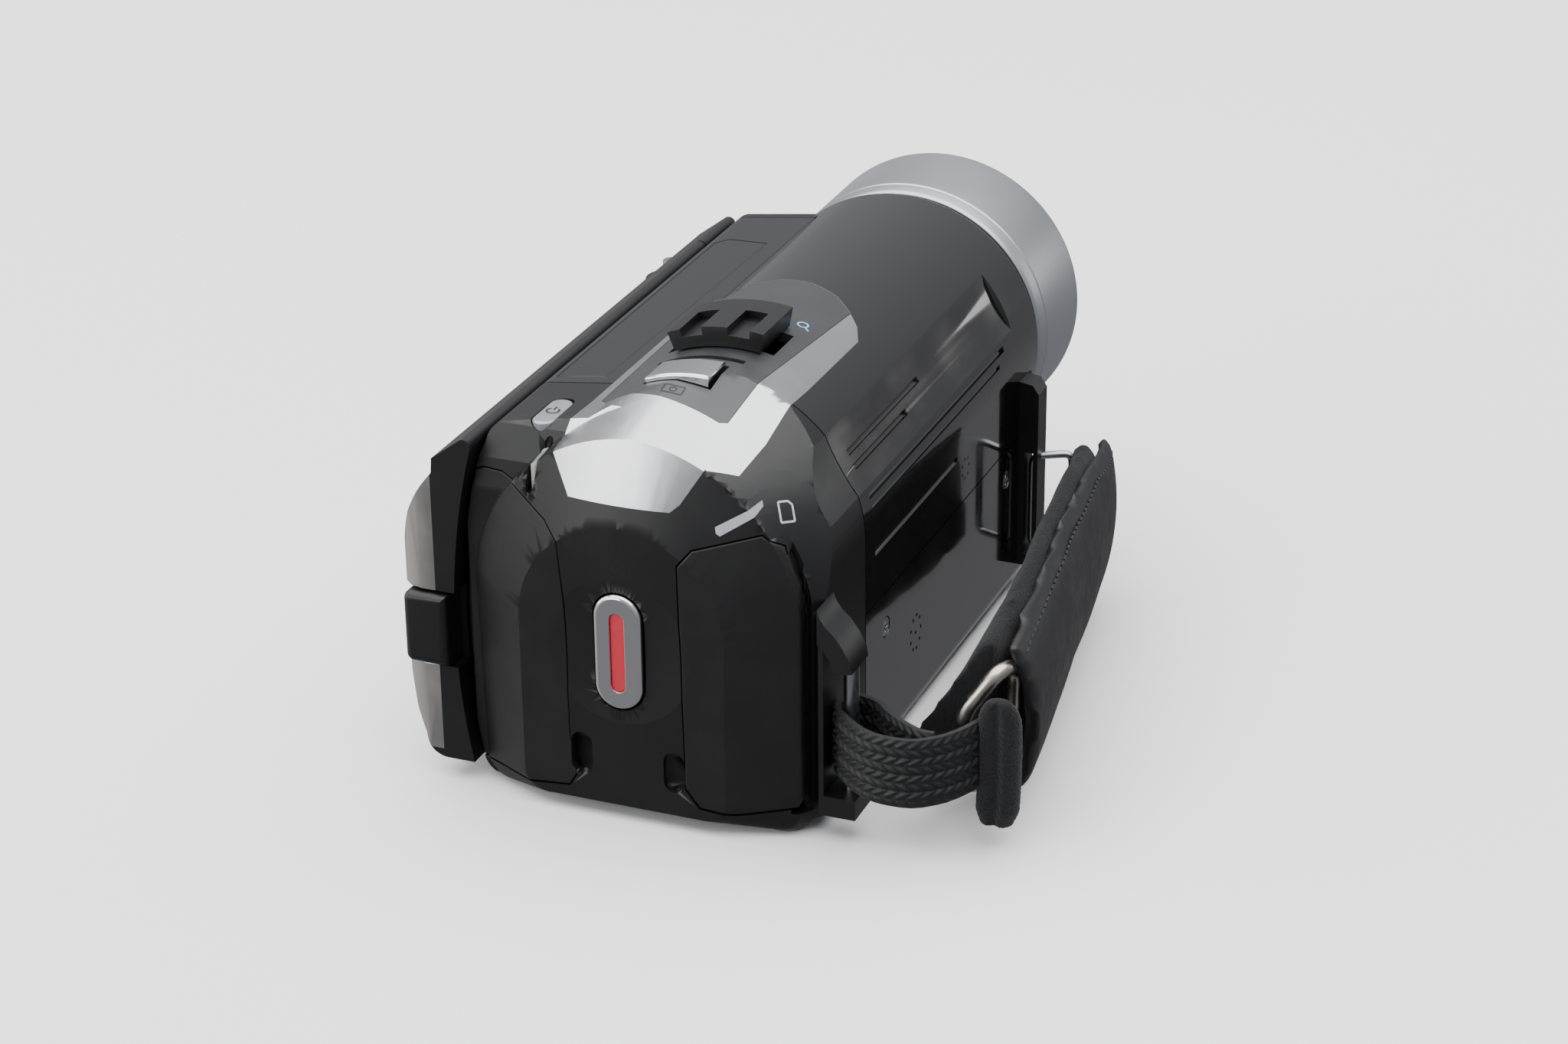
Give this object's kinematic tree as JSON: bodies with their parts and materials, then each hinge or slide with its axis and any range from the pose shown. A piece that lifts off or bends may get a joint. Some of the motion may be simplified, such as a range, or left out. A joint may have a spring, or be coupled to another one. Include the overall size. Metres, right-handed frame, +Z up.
{
  "type": "camcorder",
  "caption": "Compact hand-held camcorder with a barrel lens, a side screen that swings out, rear port covers, top zoom lever and a padded hand strap.",
  "frame": {"origin": "mouth of the tripod socket in the flat bottom", "axes": "+Y forward along the lens axis, +Z up, +X to the hand-strap side"},
  "size_m": [0.0959, 0.1294, 0.0674],
  "materials": {
    "black_shell": "fine matt texture",
    "gloss_black": "piano gloss",
    "socket_metal": "plated",
    "satin_chrome": "satin plated",
    "black_screw": "black coated",
    "steel": "turned",
    "clear_window": "clear",
    "black_mesh": "woven mesh",
    "satin_aluminium": "fine satin",
    "lens_glass": "coated",
    "sensor": "gloss",
    "circuit_board": "solder mask",
    "battery_grey": "matt",
    "lamp_lens": "translucent",
    "black_metal": "black satin",
    "woven_strap": "ribbed webbing",
    "strap_lining": "brushed pile",
    "black_leather": "grained",
    "black_rubber": "matt",
    "red_stripe": "gloss",
    "polished_plate": "polished",
    "screen_glass": "gloss"
  },
  "bodies": {
    "camera_body": {"rear_housing": "black_shell", "usb_socket": "socket_metal", "hdmi_socket": "socket_metal", "component_socket": "socket_metal", "av_jack": "socket_metal", "dc_jack": "socket_metal", "top_trim": "satin_chrome", "barrel_shell": "gloss_black", "side_screws": "black_screw", "speaker": "black_shell", "deck_shell": "gloss_black", "grip_cover": "gloss_black", "bottom_plate": "black_shell", "tripod_socket": "steel", "front_bezel": "gloss_black", "assist_lamp": "clear_window", "flash_window": "clear_window", "microphones": "black_mesh", "lens_collar": "black_shell", "lens_ring": "satin_aluminium", "window_plate": "black_shell", "lens_tube": "black_shell", "front_glass": "lens_glass", "image_sensor": "sensor", "main_board": "circuit_board", "battery_pack": "battery_grey", "charge_lamp": "lamp_lens", "access_lamp": "lamp_lens", "control_panel": "gloss_black", "hinge_block": "gloss_black", "hinge_pin": "steel", "rear_lug": "gloss_black", "lug_pin": "steel", "front_lug": "black_metal", "front_ring": "black_metal", "strap_ring": "black_metal", "webbing": "woven_strap", "strap_tail": "strap_lining", "hand_pad": "black_leather", "pad_lining": "strap_lining", "shoe_cover": "gloss_black"},
    "screen": {"screen_frame": "black_shell", "screen_plate": "polished_plate", "display_panel": "screen_glass"},
    "joystick": {"screen_joystick": "satin_chrome"},
    "screen_record_key": {"record_key": "black_shell"},
    "left_cover": {"left_port_cover": "black_rubber"},
    "right_cover": {"right_port_cover": "black_rubber"},
    "record_button": {"start_stop_button": "satin_chrome", "button_stripe": "red_stripe"},
    "still_button": {"photo_button": "satin_chrome"},
    "power_key": {"power_button": "satin_chrome"},
    "zoom_lever": {"zoom_rocker": "satin_chrome"},
    "shutter_top": {"upper_blade": "black_shell"},
    "shutter_bottom": {"lower_blade": "black_shell"},
    "zoom_group": {"zoom_carrier": "black_shell", "zoom_glass": "lens_glass"},
    "focus_group": {"focus_lens": "lens_glass"},
    "battery_lid": {"battery_door": "black_shell"},
    "lid_latch": {"door_latch": "black_shell"}
  },
  "joints": [
    {"name": "screen_swing", "type": "hinge", "parent": "camera_body", "child": "screen", "pos_m": [-0.0319, 0.036, 0.028], "axis": [0, 0, -1], "range_deg": [0, 90]},
    {"name": "joystick_press", "type": "slide", "parent": "screen", "child": "joystick", "axis": [-1, 0, 0], "range_m": [0, 0.0005], "stiffness_N_per_m": 400},
    {"name": "screen_key_press", "type": "slide", "parent": "screen", "child": "screen_record_key", "axis": [-1, 0, 0], "range_m": [0, 0.0004], "stiffness_N_per_m": 400},
    {"name": "left_cover_swing", "type": "hinge", "parent": "camera_body", "child": "left_cover", "pos_m": [-0.0256, -0.05545, 0.028], "axis": [0, 0, -1], "range_deg": [0, 70]},
    {"name": "right_cover_swing", "type": "hinge", "parent": "camera_body", "child": "right_cover", "pos_m": [0.0276, -0.0553, 0.028], "axis": [0, 0, 1], "range_deg": [0, 90]},
    {"name": "record_press", "type": "slide", "parent": "camera_body", "child": "record_button", "axis": [0, 1, 0], "range_m": [0, 0.0008], "stiffness_N_per_m": 600},
    {"name": "photo_press", "type": "slide", "parent": "camera_body", "child": "still_button", "axis": [0, 0, -1], "range_m": [0, 0.0006], "stiffness_N_per_m": 600},
    {"name": "power_press", "type": "slide", "parent": "camera_body", "child": "power_key", "axis": [0, 0, -1], "range_m": [0, 0.0005], "stiffness_N_per_m": 600},
    {"name": "zoom_turn", "type": "hinge", "parent": "camera_body", "child": "zoom_lever", "pos_m": [0.0057, -0.021, 0.0398], "axis": [0, 1, 0], "range_deg": [-6, 6], "stiffness_Nm_per_rad": 0.3},
    {"name": "shutter_top_open", "type": "slide", "parent": "camera_body", "child": "shutter_top", "axis": [0, 0, 1], "range_m": [0, 0.0082]},
    {"name": "shutter_bottom_open", "type": "slide", "parent": "camera_body", "child": "shutter_bottom", "axis": [0, 0, -1], "range_m": [0, 0.0082]},
    {"name": "zoom_travel", "type": "slide", "parent": "camera_body", "child": "zoom_group", "axis": [0, 1, 0], "range_m": [-0.008, 0.014]},
    {"name": "focus_travel", "type": "slide", "parent": "camera_body", "child": "focus_group", "axis": [0, 1, 0], "range_m": [-0.006, 0.004]},
    {"name": "battery_lid_swing", "type": "hinge", "parent": "camera_body", "child": "battery_lid", "pos_m": [0.0044, -0.0109, 0.00085], "axis": [1, 0, 0], "range_deg": [0, 85]},
    {"name": "lid_latch_slide", "type": "slide", "parent": "battery_lid", "child": "lid_latch", "axis": [0, 1, 0], "range_m": [0, 0.0025]}
  ],
  "couplings": [
    {"joint": "shutter_bottom_open", "follows": "shutter_top_open", "ratio": 1}
  ]
}
